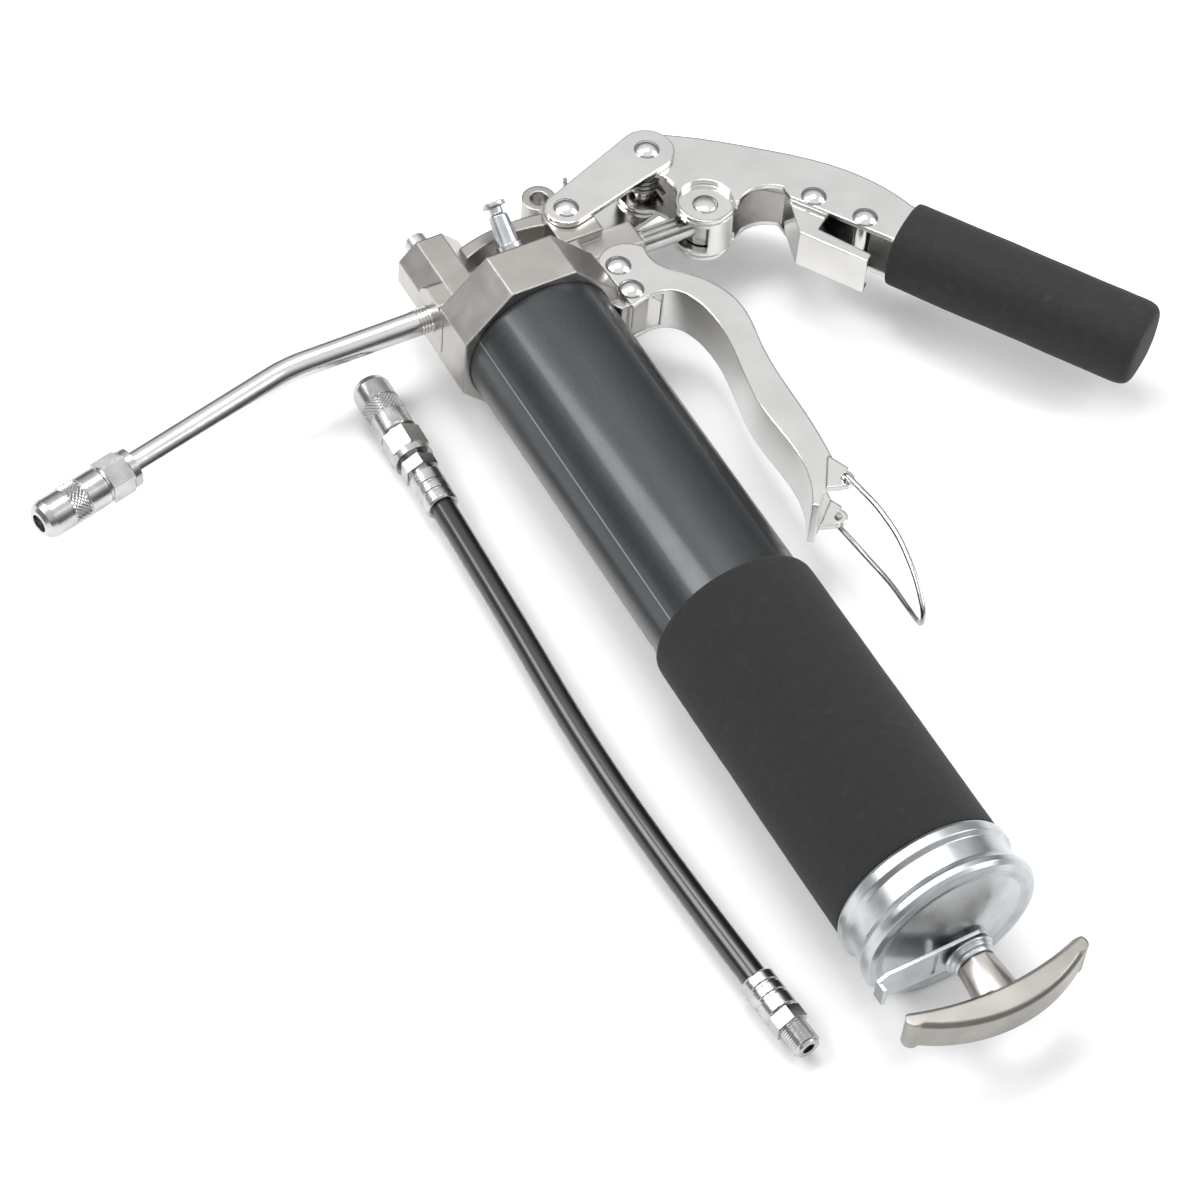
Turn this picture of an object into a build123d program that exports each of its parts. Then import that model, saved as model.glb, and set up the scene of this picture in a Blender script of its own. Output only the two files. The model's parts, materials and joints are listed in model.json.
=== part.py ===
"""Two-way grease gun: side lever with a fixed pistol handle, cartridge barrel, rigid
extension tube with coupler, and a spare flexible hose lying beside it. Millimetres.

The gun lies on its side, so every pivot pin stands upright along Z. The barrel runs
along Y with its head at +Y. Sketches use the gun's own coordinates, in which the barrel
axis is x = 0, z = 0 and the mouth of the head's collar is y = 0. The function at() moves
them to the row's origin, the middle of the underside.
"""

import os
from math import atan, atan2, cos, degrees, pi, radians, sin, tan

from build123d import *

os.makedirs("parts", exist_ok=True)

# Row origin, seen from the collar mouth on the barrel axis.
ORIGIN = (-6.604, 124.763, 32.0)

# Barrel and end cap
BARREL_R = 28.5
BARREL_WALL = 1.2
BARREL_IN = 14.0
BARREL_END = -264.0
GRIP_R = 31.1
GRIP_START = -140.0
CAP_START = -260.5
CAP_R = 31.8

# Head casting
COLLAR_R = 33.4
COLLAR_LEN = 20.0
COLLAR_BORE = 28.6
COLLAR_DEPTH = 15.5
BORE_Y = 27.5
BORE_R = 4.6
SLEEVE_END = 54.5
GLAND_X = 34.0
OUTLET_X = -31.0
VENT_X = -18.5
VENT_END = 53.0
LUG = (33.2, 44.0)
HANG = (30.0, 58.5)
HANG_R = 3.3

# Linkage: lug pin, link pin and plunger pin, all along Z
LINK_PIN = (74.5, 57.5)
PLUNGER_PIN = (83.0, 27.5)
LEVER_HALF = 10.5
SHEET = 1.8
LOBE_HALF = 8.2
LOBE_R = 11.0
LINK_GAP = 10.8
LINK_THICK = 2.4
SHANK_R = 3.2
RIVET_R = 4.8
RIVET_RISE = 2.0
FIT = 0.08

# Lever, grip and catch
CATCH_PIN = (120.3, 12.0)
TANG_RIVET = (132.0, -5.5)
GRIP_FROM = (143.7, -14.4)
GRIP_ANGLE = -57.2
GRIP_LEN = 99.0
GRIP_HALF_W = 15.6
GRIP_HALF_H = 14.6
TANG_HALF = 9.5
CATCH_HALF = 8.4
CATCH_SHEET = 1.4

# Pistol handle and its wire bail
PISTOL_HALF = 10.0
PISTOL_RIVETS = [(38.2, 13.0), (36.8, 0.8)]
EAR_HOLE = (60.0, -110.5)
EAR_HALF = 11.6
WIRE_R = 1.0

# Extension tube and couplers
TUBE_R = 4.9
TUBE_BORE = 2.0
TUBE_TURN = (-88.0, BORE_Y)
TUBE_DROP = 14.1
COUPLER_FROM = 70.0

# Spare hose, lying on the surface beside the barrel
HOSE_R = 4.5
HOSE_BORE = 2.2
HOSE_Z = -23.8
HOSE_ROUTE = [(-57.0, -24.0), (-58.5, -85.0), (-61.5, -146.0), (-60.0, -207.0), (-55.5, -268.0)]

# Rod, T-handle and follower
ROD_R = 4.0
PISTON_Y = -8.0
T_NECK = -289.6
T_BAR = -311.0


def at(x, y, z=0.0):
    return (x + ORIGIN[0], y + ORIGIN[1], z + ORIGIN[2])


def level(z):
    """Plane at height z, whose sketch coordinates are the gun's x and y."""
    return Plane(origin=at(0, 0, z))


def across(y):
    """Plane across the barrel at y: sketch x is the gun's x, sketch y its z, normal to the tail."""
    return Plane(origin=at(0, y, 0), x_dir=(1, 0, 0), z_dir=(0, -1, 0))


def endwise(x):
    """Plane across the pump bore at x: sketch x is the gun's y, sketch y its z."""
    return Plane(origin=at(x, 0, 0), x_dir=(0, 1, 0), z_dir=(1, 0, 0))


def along(x, y, z, angle):
    """Plane whose x axis starts at (x, y, z) and points at angle in the level plane."""
    return Plane(origin=at(x, y, z), x_dir=(cos(radians(angle)), sin(radians(angle)), 0), z_dir=(0, 0, 1))


def spin_axis(plane):
    return Axis(plane.origin, plane.x_dir)


def save(part, name):
    part.label = name
    export_step(part, f"parts/{name}.step")


FILLER = Plane(origin=at(7.0, 30.0, 4.0), x_dir=(1, 0, 0), z_dir=(0, 0.82, 0.57))
BARREL_AXIS = Axis(at(0, 0, 0), (0, 1, 0))
BORE_AXIS = Axis(at(0, BORE_Y, 0), (1, 0, 0))


def channel(outline, half, sheet, opening, reach):
    """Pressed channel: two flanges of the outline and a web on the side away from its opening."""
    steps = [sheet + 4.0 * n for n in range(int(reach / 4.0) + 1)]
    with BuildPart() as body:
        with BuildSketch(level(-half)):
            add(outline)
        extrude(amount=2 * half)
        with BuildSketch(level(-half + sheet)):
            with Locations(*[(d * cos(radians(opening)), d * sin(radians(opening))) for d in steps]):
                add(outline)
        extrude(amount=2 * (half - sheet), mode=Mode.SUBTRACT)
    return body.part


# ---------------------------------------------------------------- head casting
with BuildPart() as head_casting:
    with BuildSketch(across(0)):
        RegularPolygon(COLLAR_R, 8, rotation=22.5)
    extrude(amount=-COLLAR_LEN)
    # outlet block, vent boss and pump block
    with BuildSketch(endwise(OUTLET_X)):
        with Locations((BORE_Y - 1.0, 0)):
            Rectangle(18.0, 24.0)
        chamfer(vertices(), 4.0)
    extrude(amount=24.0)
    with BuildSketch(across(16.0)):
        with Locations((VENT_X, 0)):
            RegularPolygon(12.2, 8, rotation=22.5, major_radius=False)
    extrude(amount=-(VENT_END - 16.0))
    with BuildSketch(endwise(-14.0)):
        with Locations((BORE_Y, 0)):
            Rectangle(20.0, 19.0)
        chamfer(vertices(), 3.0)
    extrude(amount=45.0)
    with BuildSketch(endwise(28.0)):
        with Locations((BORE_Y + 0.6, 0)):
            Rectangle(14.0, 12.4)
        chamfer(vertices(), 1.6)
    extrude(amount=SLEEVE_END - 28.0)
    # floor, arched rib, pivot lug and hanging lug
    with BuildSketch(level(-8.0)):
        with BuildLine():
            Polyline((-14, 32), (40, 32), (40, 44), (-14, 46), close=True)
        make_face()
    extrude(amount=7.0)
    with BuildSketch(level(-8.0)):
        with BuildLine():
            rib_in = ThreePointArc((-12, 40.0), (10, 46.0), (33, 41.0))
            rib_out = ThreePointArc((-12, 46.0), (10, 51.0), (33, 48.5))
            Line(rib_in @ 0, rib_out @ 0)
            Line(rib_in @ 1, rib_out @ 1)
        make_face()
    extrude(amount=15.5)
    with BuildSketch(level(-LINK_GAP + 0.3)):
        with Locations(LUG):
            Circle(8.6)
        with Locations((LUG[0], 37.0)):
            Rectangle(17.2, 12.0)
    extrude(amount=2 * (LINK_GAP - 0.3))
    with BuildSketch(level(-4.0)):
        with Locations(HANG):
            Circle(6.4)
        with Locations(((LUG[0] + HANG[0]) / 2, (LUG[1] + HANG[1]) / 2)):
            Rectangle(9.0, 10.0)
    extrude(amount=10.0)
    # boss under the bulk filler
    with BuildSketch(FILLER):
        Circle(6.0)
    extrude(amount=9.0)
    # tab that carries the pistol handle
    with BuildSketch(level(-PISTOL_HALF + SHEET + 0.1)):
        with BuildLine():
            Polyline((27, 22), (45, 20), (45, 4), (41, -5), (30, -5), (27, 0), close=True)
        make_face()
        fillet(vertices().group_by(Axis.X)[-1], 3.0)
    extrude(amount=2 * (PISTOL_HALF - SHEET - 0.1))
    # barrel socket, pump bore and outlet
    with BuildSketch(across(-8.0)):
        Circle(COLLAR_BORE)
    extrude(amount=-(COLLAR_DEPTH + 8.0), mode=Mode.SUBTRACT)
    with BuildSketch(endwise(SLEEVE_END + 1.0)):
        with Locations((BORE_Y, 0)):
            Circle(BORE_R)
    extrude(amount=-(SLEEVE_END + 7.0), mode=Mode.SUBTRACT)
    with BuildSketch(endwise(0.0)):
        with Locations((BORE_Y, 0)):
            Circle(2.0)
    extrude(amount=-20.0, mode=Mode.SUBTRACT)
    with BuildSketch(endwise(-9.0)):
        with Locations((BORE_Y, 0)):
            Circle(3.6)
    extrude(amount=-9.0, mode=Mode.SUBTRACT)
    with BuildSketch(endwise(-17.0)):
        with Locations((BORE_Y, 0)):
            Circle(TUBE_R + 0.05)
    extrude(amount=-15.0, mode=Mode.SUBTRACT)
    with BuildSketch(across(-10)):
        with Locations((8, 0)):
            Circle(3.5)
    extrude(amount=-18.0, mode=Mode.SUBTRACT)
    # packing gland, deep enough that the plunger's grooves never reach it
    with BuildSketch(endwise(GLAND_X)):
        with Locations((BORE_Y, 0)):
            Circle(5.6)
    extrude(amount=3.0, mode=Mode.SUBTRACT)
    # cross holes
    with Locations(Location(at(LUG[0], LUG[1], 0))):
        Cylinder(SHANK_R + FIT, 40, mode=Mode.SUBTRACT)
    with Locations(Location(at(HANG[0], HANG[1], 0))):
        Cylinder(HANG_R, 40, mode=Mode.SUBTRACT)
    for x, y in PISTOL_RIVETS:
        with Locations(Location(at(x, y, 0))):
            Cylinder(SHANK_R + 0.05, 40, mode=Mode.SUBTRACT)
    # vent thread and filler thread
    with BuildSketch(across(VENT_END + 1.0)):
        with Locations((VENT_X, 0)):
            Circle(4.05)
    extrude(amount=12.0, mode=Mode.SUBTRACT)
    with BuildSketch(FILLER.offset(10.0)):
        Circle(3.05)
    extrude(amount=-7.0, mode=Mode.SUBTRACT)
save(head_casting.part, "head_casting")

with BuildPart() as collar_gasket:
    with BuildSketch(across(COLLAR_DEPTH - 0.02)):
        Circle(COLLAR_BORE - 0.2)
        Circle(BARREL_R - 3.5, mode=Mode.SUBTRACT)
    extrude(amount=1.4)
save(collar_gasket.part, "collar_gasket")

with BuildPart() as outlet_ball:
    with Locations(Location(at(-11.6, BORE_Y, 0))):
        Sphere(2.9)
save(outlet_ball.part, "outlet_ball")

with BuildPart() as plunger_packing:
    with BuildSketch(endwise(GLAND_X + 0.1)):
        with Locations((BORE_Y, 0)):
            Circle(5.5)
            Circle(BORE_R - FIT + 0.04, mode=Mode.SUBTRACT)
    extrude(amount=2.8)
save(plunger_packing.part, "plunger_packing")

# vent valve: hexagon plug with a knurled button on its far end
with BuildPart() as vent_plug:
    with BuildSketch(across(VENT_END - 8.0)):
        with Locations((VENT_X, 0)):
            Circle(4.0)
    extrude(amount=-8.0)
    with BuildSketch(across(VENT_END)):
        with Locations((VENT_X, 0)):
            RegularPolygon(5.5, 6, major_radius=False)
    extrude(amount=-4.5)
    with BuildSketch(across(VENT_END + 4.5)):
        with Locations((VENT_X, 0)):
            Circle(3.2)
    extrude(amount=-2.0)
    with BuildSketch(across(VENT_END + 6.5)):
        with Locations((VENT_X, 0)):
            Circle(4.4)
    extrude(amount=-4.5)
    chamfer(vent_plug.faces().sort_by(Axis.Y)[-1].edges(), 0.6)
save(vent_plug.part, "vent_plug")

# bulk filler nipple, leaning forward out of the casting
with BuildPart() as filler_nipple:
    with BuildSketch(Plane(origin=FILLER.origin, x_dir=FILLER.x_dir, z_dir=FILLER.y_dir)):
        with BuildLine():
            Polyline(
                (0, -4.5), (3.0, -4.5), (3.0, -9.02), (5.0, -9.02), (5.0, -11.0), (4.2, -11.0), (3.6, -22.0),
                (2.5, -23.0), (2.5, -25.1), (4.4, -25.7), (4.4, -27.1), (2.6, -27.7), (0, -27.7), close=True,
            )
        make_face()
    revolve(axis=Axis(FILLER.origin, FILLER.z_dir))
save(filler_nipple.part, "filler_nipple")

# ---------------------------------------------------------------- springs
def coil(plane, radius, wire, pitch, height):
    """Open helical spring standing on a plane, along its normal."""
    with BuildPart() as spring:
        with BuildLine() as path:
            Helix(pitch, height, radius, center=plane.origin, direction=plane.z_dir)
        with BuildSketch(Plane(origin=path.line @ 0, z_dir=path.line % 0)):
            Circle(wire / 2)
        sweep(is_frenet=True)
    return spring.part


save(coil(endwise(-16.5), 2.4, 0.6, 0.9, 2.2), "outlet_spring")


# ---------------------------------------------------------------- rivets
def rivet(x, y, half_grip, head_r=RIVET_R, shank_r=SHANK_R, rise=RIVET_RISE):
    """Domed rivet or pin along Z at (x, y), closing on sheets half_grip from the middle."""
    dome = (head_r**2 + rise**2) / (2 * rise)
    half_angle = atan2(head_r, dome - rise) / 2
    mid = (dome * sin(half_angle), half_grip + rise - dome * (1 - cos(half_angle)))
    with BuildPart() as body:
        with BuildSketch(Plane(origin=at(x, y, 0), x_dir=(1, 0, 0), z_dir=(0, -1, 0))):
            with BuildLine():
                ThreePointArc((0, half_grip + rise), mid, (head_r, half_grip))
                Polyline((head_r, half_grip), (shank_r, half_grip), (shank_r, 0), (0, 0), (0, half_grip + rise))
            make_face()
        revolve(axis=Axis(at(x, y, 0), (0, 0, 1)))
        mirror(about=level(0))
    return body.part


LINK_OUT = LINK_GAP + LINK_THICK
save(rivet(*LUG, LINK_OUT), "lug_rivet")
save(rivet(*LINK_PIN, LINK_OUT), "link_rivet")
save(Compound(children=[rivet(x, y, PISTOL_HALF) for x, y in PISTOL_RIVETS]), "pistol_rivets")
save(rivet(*CATCH_PIN, LEVER_HALF), "catch_rivet")
save(rivet(*TANG_RIVET, LEVER_HALF), "lever_rivet")
save(rivet(*PLUNGER_PIN, LOBE_HALF, rise=1.0, shank_r=3.0), "plunger_pin")


# ---------------------------------------------------------------- link plates
def link_plate(z):
    with BuildPart() as plate:
        with BuildSketch(level(z)):
            with Locations(LUG):
                Circle(7.9)
            with Locations(LINK_PIN):
                Circle(10.4)
            make_hull()
            with Locations(LUG):
                Circle(SHANK_R + 0.05, mode=Mode.SUBTRACT)
            with Locations(LINK_PIN):
                Circle(SHANK_R + FIT, mode=Mode.SUBTRACT)
        extrude(amount=LINK_THICK)
        fillet(plate.faces().sort_by(Axis.Z)[-1].outer_wire().edges(), 0.4)
    return plate.part


save(link_plate(LINK_GAP), "link_plate_near")
save(link_plate(-LINK_OUT), "link_plate_far")

# ---------------------------------------------------------------- lever
TANG_END = (
    GRIP_FROM[0] + 90.0 * cos(radians(GRIP_ANGLE)),
    GRIP_FROM[1] + 90.0 * sin(radians(GRIP_ANGLE)),
)
OUTWARD = GRIP_ANGLE + 90.0
TANG_SIDE = (TANG_HALF * cos(radians(OUTWARD)), TANG_HALF * sin(radians(OUTWARD)))

with BuildSketch(level(-LEVER_HALF)) as lever_outline:
    with BuildLine():
        ThreePointArc((72.0, 47.5), (64.8, 60.5), (79.5, 67.0))
        top_edge = Spline(
            (79.5, 67.0), (96.5, 56.5), (112.0, 44.2), (129.5, 28.6),
            (GRIP_FROM[0] + TANG_SIDE[0] - 1.0, GRIP_FROM[1] + TANG_SIDE[1] + 1.6),
        )
        Polyline(
            top_edge @ 1,
            (TANG_END[0] + TANG_SIDE[0], TANG_END[1] + TANG_SIDE[1]),
            (TANG_END[0] - TANG_SIDE[0], TANG_END[1] - TANG_SIDE[1]),
            (GRIP_FROM[0] - TANG_SIDE[0], GRIP_FROM[1] - TANG_SIDE[1]),
            (112.3, 15.5),
            (112.5, 21.0),
        )
        ThreePointArc((112.5, 21.0), (103.5, 25.0), (93.8, 21.5))
        Line((93.8, 21.5), PLUNGER_PIN)
        Line(PLUNGER_PIN, (74.0, 33.5))
        ThreePointArc((74.0, 33.5), (76.3, 40.0), (72.0, 47.5))
    make_face()
    with Locations(PLUNGER_PIN):
        Circle(LOBE_R)

with BuildPart() as lever_arm:
    add(channel(lever_outline.sketch_local, LEVER_HALF, SHEET, OUTWARD + 180.0, 28.0))
    # lobes pressed in around the plunger pin, one on each flange
    for side in (-1, 1):
        low, high = sorted((side * LOBE_HALF, side * (LEVER_HALF + 1.0)))
        with BuildSketch(level(low)):
            with Locations(PLUNGER_PIN):
                Circle(LOBE_R - SHEET + 1.0)
        extrude(amount=high - low, mode=Mode.SUBTRACT)
        low, high = sorted((side * (LOBE_HALF - SHEET), side * LOBE_HALF))
        with BuildSketch(level(low)):
            with Locations(PLUNGER_PIN):
                Circle(LOBE_R)
        extrude(amount=high - low)
        low, high = sorted((side * (LOBE_HALF - SHEET), side * (LEVER_HALF - 0.5)))
        with BuildSketch(level(low)):
            add(lever_outline.sketch_local)
            with Locations(PLUNGER_PIN):
                Circle(LOBE_R + 1.0, mode=Mode.INTERSECT)
                Circle(LOBE_R - SHEET + 1.0, mode=Mode.SUBTRACT)
            with Locations((PLUNGER_PIN[0] - 20.0, PLUNGER_PIN[1] - 12.0)):
                Rectangle(60.0, 24.0, mode=Mode.SUBTRACT)
        extrude(amount=high - low)
    # the web turned round the underside of the lobes
    with BuildSketch(level(-LOBE_HALF)):
        with BuildLine():
            rim_out = CenterArc(PLUNGER_PIN, LOBE_R, -110.0, 110.0)
            rim_in = CenterArc(PLUNGER_PIN, LOBE_R - SHEET, -110.0, 110.0)
            Line(rim_out @ 0, rim_in @ 0)
            Line(rim_out @ 1, rim_in @ 1)
        make_face()
    extrude(amount=2 * LOBE_HALF)
    for pin, radius in ((LINK_PIN, SHANK_R), (CATCH_PIN, SHANK_R), (TANG_RIVET, SHANK_R), (PLUNGER_PIN, 3.0)):
        with Locations(Location(at(pin[0], pin[1], 0))):
            Cylinder(radius + 0.05, 60, mode=Mode.SUBTRACT)
save(lever_arm.part, "lever_arm")

# ---------------------------------------------------------------- foam grip on the lever
GRIP_PLANE = Plane(
    origin=at(*GRIP_FROM, 0),
    x_dir=(cos(radians(OUTWARD)), sin(radians(OUTWARD)), 0),
    z_dir=(cos(radians(GRIP_ANGLE)), sin(radians(GRIP_ANGLE)), 0),
)
with BuildPart() as lever_grip:
    with BuildSketch(GRIP_PLANE):
        RectangleRounded(2 * GRIP_HALF_W, 2 * GRIP_HALF_H, 12.0)
    extrude(amount=GRIP_LEN)
    fillet(lever_grip.faces().sort_by(Axis(GRIP_PLANE.origin, GRIP_PLANE.z_dir))[-1].edges(), 5.0)
    fillet(lever_grip.faces().sort_by(Axis(GRIP_PLANE.origin, GRIP_PLANE.z_dir))[0].edges(), 1.2)
    with BuildSketch(GRIP_PLANE.offset(-1.0)):
        Rectangle(2 * TANG_HALF + 0.6, 2 * LEVER_HALF + 0.6)
    extrude(amount=92.0, mode=Mode.SUBTRACT)
save(lever_grip.part, "lever_grip")

# ---------------------------------------------------------------- catch under the lever
with BuildSketch(level(0)) as catch_outline:
    with BuildLine():
        Polyline(
            (113.6, 20.5), (107.4, 0.0), (122.3, -23.4), (125.6, -21.0), (114.5, -1.5), (126.0, 6.5),
            (124.5, 17.5), (118.0, 20.0), close=True,
        )
    make_face()
    fillet(vertices().sort_by(SortBy.DISTANCE)[-1:], 1.0)
with BuildPart() as lever_catch:
    add(channel(catch_outline.sketch_local, CATCH_HALF, CATCH_SHEET, OUTWARD, 20.0))
    with Locations(Location(at(CATCH_PIN[0], CATCH_PIN[1], 0))):
        Cylinder(SHANK_R + FIT, 60, mode=Mode.SUBTRACT)
save(lever_catch.part, "lever_catch")


def torsion_spring(centre, half, radius, wire, turns, legs):
    """Coil round a pin along Z with a straight leg at each end; legs are end points."""
    with BuildPart() as spring:
        with BuildLine() as path:
            Helix(2 * half / turns, 2 * half, radius, center=at(*centre, -half))
        with BuildSketch(Plane(origin=path.line @ 0, z_dir=path.line % 0)):
            Circle(wire / 2)
        sweep(is_frenet=True)
        for end, leg in zip((path.line @ 0, path.line @ 1), legs):
            if leg is None:
                continue
            with BuildLine() as run:
                Polyline(end, *[at(*p) for p in leg])
            with BuildSketch(Plane(origin=run.line @ 0, z_dir=run.line % 0)):
                Circle(wire / 2)
            sweep(transition=Transition.ROUND)
    return spring.part


RETURN_LEGS = (
    ((79.5, 50.5, -6.0),),
    ((39.6, 56.4, 6.0), (39.4, 56.4, 13.9)),
)
CATCH_LEGS = (((117.5, -8.0, -3.6),), ((128.5, 1.0, 3.6),))
save(torsion_spring(LINK_PIN, 6.0, 5.0, 1.7, 5.3, RETURN_LEGS), "return_spring")
save(torsion_spring(CATCH_PIN, 3.6, 4.4, 1.0, 5, CATCH_LEGS), "catch_spring")

# ---------------------------------------------------------------- plunger
SLOT_PLAY = 1.7
with BuildPart() as plunger:
    # the round end pumps in the bore and stops short of the outlet ball at full stroke
    with BuildSketch(endwise(11.5)):
        with Locations((BORE_Y, 0)):
            Circle(BORE_R - FIT)
    extrude(amount=45.0)
    # flats and grooves on the part that shows, still inside the bore's circle
    with BuildSketch(endwise(56.5)):
        with Locations((BORE_Y, 0)):
            Circle(BORE_R - FIT)
            Rectangle(12.0, 7.4, mode=Mode.INTERSECT)
        with Locations((BORE_Y + 1.3, 3.7), (BORE_Y - 1.3, 3.7), (BORE_Y + 1.3, -3.7), (BORE_Y - 1.3, -3.7)):
            Rectangle(1.1, 1.8, mode=Mode.SUBTRACT)
    extrude(amount=21.5)
    with BuildSketch(level(-5.8)):
        with Locations(PLUNGER_PIN):
            Circle(7.4)
    extrude(amount=11.6)
    with BuildSketch(level(-10.0)):
        with Locations(PLUNGER_PIN):
            SlotCenterToCenter(2 * SLOT_PLAY, 2 * (3.0 + FIT), rotation=90)
    extrude(amount=20.0, mode=Mode.SUBTRACT)
save(plunger.part, "plunger")

# ---------------------------------------------------------------- pistol handle
with BuildSketch(level(0)) as pistol_outline:
    with BuildLine():
        Spline((51.0, 17.0), (52.5, 6.0), (61.0, -3.5), (69.0, -22.0), (66.0, -44.0), (63.7, -80.0), (61.0, -103.5))
        Polyline((61.0, -103.5), (46.5, -116.5), (44.5, -115.0))
        Spline((44.5, -115.0), (51.3, -97.0), (51.3, -66.0), (57.2, -24.0), (53.0, -9.0), (33.5, -0.8 - 6.0))
        Polyline((33.5, -6.8), (32.5, 18.0))
        ThreePointArc((32.5, 18.0), (41.0, 22.5), (51.0, 17.0))
    make_face()
with BuildPart() as pistol_handle:
    add(channel(pistol_outline.sketch_local, PISTOL_HALF, SHEET, 25.0, 28.0))
    # room for the casting's tab between the flanges
    with BuildSketch(level(-PISTOL_HALF + SHEET)):
        with Locations((35.0, 8.0)):
            Rectangle(24.0, 29.0)
    extrude(amount=2 * (PISTOL_HALF - SHEET), mode=Mode.SUBTRACT)
    for side in (-1, 1):
        low, high = sorted((side * (PISTOL_HALF - 0.4), side * EAR_HALF))
        with BuildSketch(level(low)):
            with BuildLine():
                Polyline((60.0, -99.0), (52.0, -111.5), (57.5, -113.5), (63.5, -107.0), close=True)
            make_face()
            with Locations(EAR_HOLE):
                Circle(3.4)
        extrude(amount=high - low)
    with Locations(Location(at(EAR_HOLE[0], EAR_HOLE[1], 0))):
        Cylinder(WIRE_R + 0.15, 60, mode=Mode.SUBTRACT)
    for x, y in PISTOL_RIVETS:
        with Locations(Location(at(x, y, 0))):
            Cylinder(SHANK_R + 0.05, 60, mode=Mode.SUBTRACT)
save(pistol_handle.part, "pistol_handle")

# ---------------------------------------------------------------- wire bail
BAIL_SIDE = [
    (60.0, -110.5, 8.4), (60.0, -110.5, 13.8), (62.2, -128.0, 14.4), (62.8, -142.0, 12.8), (60.5, -158.0, 9.0),
    (57.8, -168.5, 3.5),
]
with BuildPart() as wire_bail:
    with BuildLine() as bail_path:
        FilletPolyline(
            *[at(*p) for p in BAIL_SIDE],
            *[at(x, y, -z) for x, y, z in reversed(BAIL_SIDE)],
            radius=[1.6, 60.0, 60.0, 45.0, 5.6, 5.6, 45.0, 60.0, 60.0, 1.6],
        )
    with BuildSketch(Plane(origin=bail_path.line @ 0, z_dir=bail_path.line % 0)):
        Circle(WIRE_R)
    sweep()
save(wire_bail.part, "wire_bail")


# ---------------------------------------------------------------- barrel and cap
def turned(points, name):
    """Body of revolution about the barrel axis from (radius, y) points."""
    with BuildPart() as body:
        with BuildSketch(level(0)):
            with BuildLine():
                Polyline(*points, close=True)
            make_face()
        revolve(axis=BARREL_AXIS)
    save(body.part, name)
    return body.part


BARREL_IR = BARREL_R - BARREL_WALL
turned([(BARREL_IR, BARREL_IN), (BARREL_R, BARREL_IN), (BARREL_R, BARREL_END), (BARREL_IR, BARREL_END)], "barrel_tube")

with BuildPart() as barrel_grip:
    with BuildSketch(across(GRIP_START)):
        Circle(GRIP_R)
        Circle(BARREL_R + 0.05, mode=Mode.SUBTRACT)
    extrude(amount=GRIP_START - CAP_START - 0.1)
    fillet(barrel_grip.edges().filter_by(GeomType.CIRCLE).sort_by(Axis.Y)[-2:].sort_by(SortBy.RADIUS)[-1:], 1.6)
save(barrel_grip.part, "barrel_grip")

CAP_T = 1.0
with BuildPart() as end_cap:
    with BuildSketch(level(0)):
        with BuildLine():
            Polyline(
                (BARREL_R + 0.05, CAP_START), (31.0, CAP_START), (CAP_R, CAP_START - 1.2), (CAP_R, CAP_START - 4.4),
                (30.4, CAP_START - 6.0), (30.3, CAP_START - 13.0), (31.2, CAP_START - 14.2), (32.0, CAP_START - 15.6),
                (32.0, CAP_START - 17.6), (31.0, CAP_START - 19.2), (28.6, CAP_START - 19.8), (26.0, CAP_START - 19.4),
                (9.0, CAP_START - 25.0), (4.5, CAP_START - 25.3), (4.5, CAP_START - 24.2), (8.8, CAP_START - 23.9),
                (25.8, CAP_START - 18.3), (28.5, CAP_START - 18.6), (BARREL_R + 0.05, CAP_START - 12.0), close=True,
            )
        make_face()
    revolve(axis=BARREL_AXIS)
    fillet(end_cap.edges().filter_by(GeomType.CIRCLE).filter_by(lambda e: 29.9 < e.radius < 32.1 and e.center().Y < at(0, CAP_START - 0.5)[1]), 0.45)
save(end_cap.part, "end_cap")

# ---------------------------------------------------------------- rod latch
LATCH_Y = -287.2
with BuildPart() as rod_latch:
    with BuildSketch(across(LATCH_Y)):
        with BuildLine():
            ThreePointArc((4.0, 7.8), (8.6, 0.0), (4.0, -7.8))
            Polyline((4.0, -7.8), (-30.0, -6.5), (-33.5, -4.0), (-33.5, 4.0), (-30.0, 6.5), (4.0, 7.8))
        make_face()
        Circle(ROD_R + 0.35, mode=Mode.SUBTRACT)
        with Locations((-12.0, 0)):
            SlotOverall(11.0, 1.6, rotation=90, mode=Mode.SUBTRACT)
    extrude(amount=1.4)
    # thumb edge turned down
    with BuildSketch(across(LATCH_Y)):
        with Locations((-32.8, 0)):
            Rectangle(1.4, 8.0)
    extrude(amount=4.6)
save(rod_latch.part, "rod_latch")

# ---------------------------------------------------------------- rod, follower, T-handle
with BuildPart() as follower_rod:
    with BuildSketch(across(PISTON_Y - 2.0)):
        Circle(ROD_R)
    extrude(amount=PISTON_Y - 2.0 - (T_NECK - 12.0))
save(follower_rod.part, "follower_rod")
turned(
    [(4.05, PISTON_Y - 3), (26.0, PISTON_Y - 3), (26.0, PISTON_Y - 4.4), (24.5, PISTON_Y - 4.4),
     (24.5, PISTON_Y - 12), (23.3, PISTON_Y - 12), (23.3, PISTON_Y - 4.4), (4.05, PISTON_Y - 4.4)],
    "follower_plate",
)
turned(
    [(4.05, PISTON_Y), (26.6, PISTON_Y + 2.5), (27.15, PISTON_Y + 2.5), (27.15, PISTON_Y - 1.0),
     (26.0, PISTON_Y - 2.95), (4.05, PISTON_Y - 2.95)],
    "follower_seal",
)
SPRING_FROM = PISTON_Y - 6.2
SPRING_LEN = SPRING_FROM - (CAP_START - 15.0)
save(coil(across(SPRING_FROM), 20.0, 2.2, SPRING_LEN / 13.0, SPRING_LEN), "follower_spring")

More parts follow.
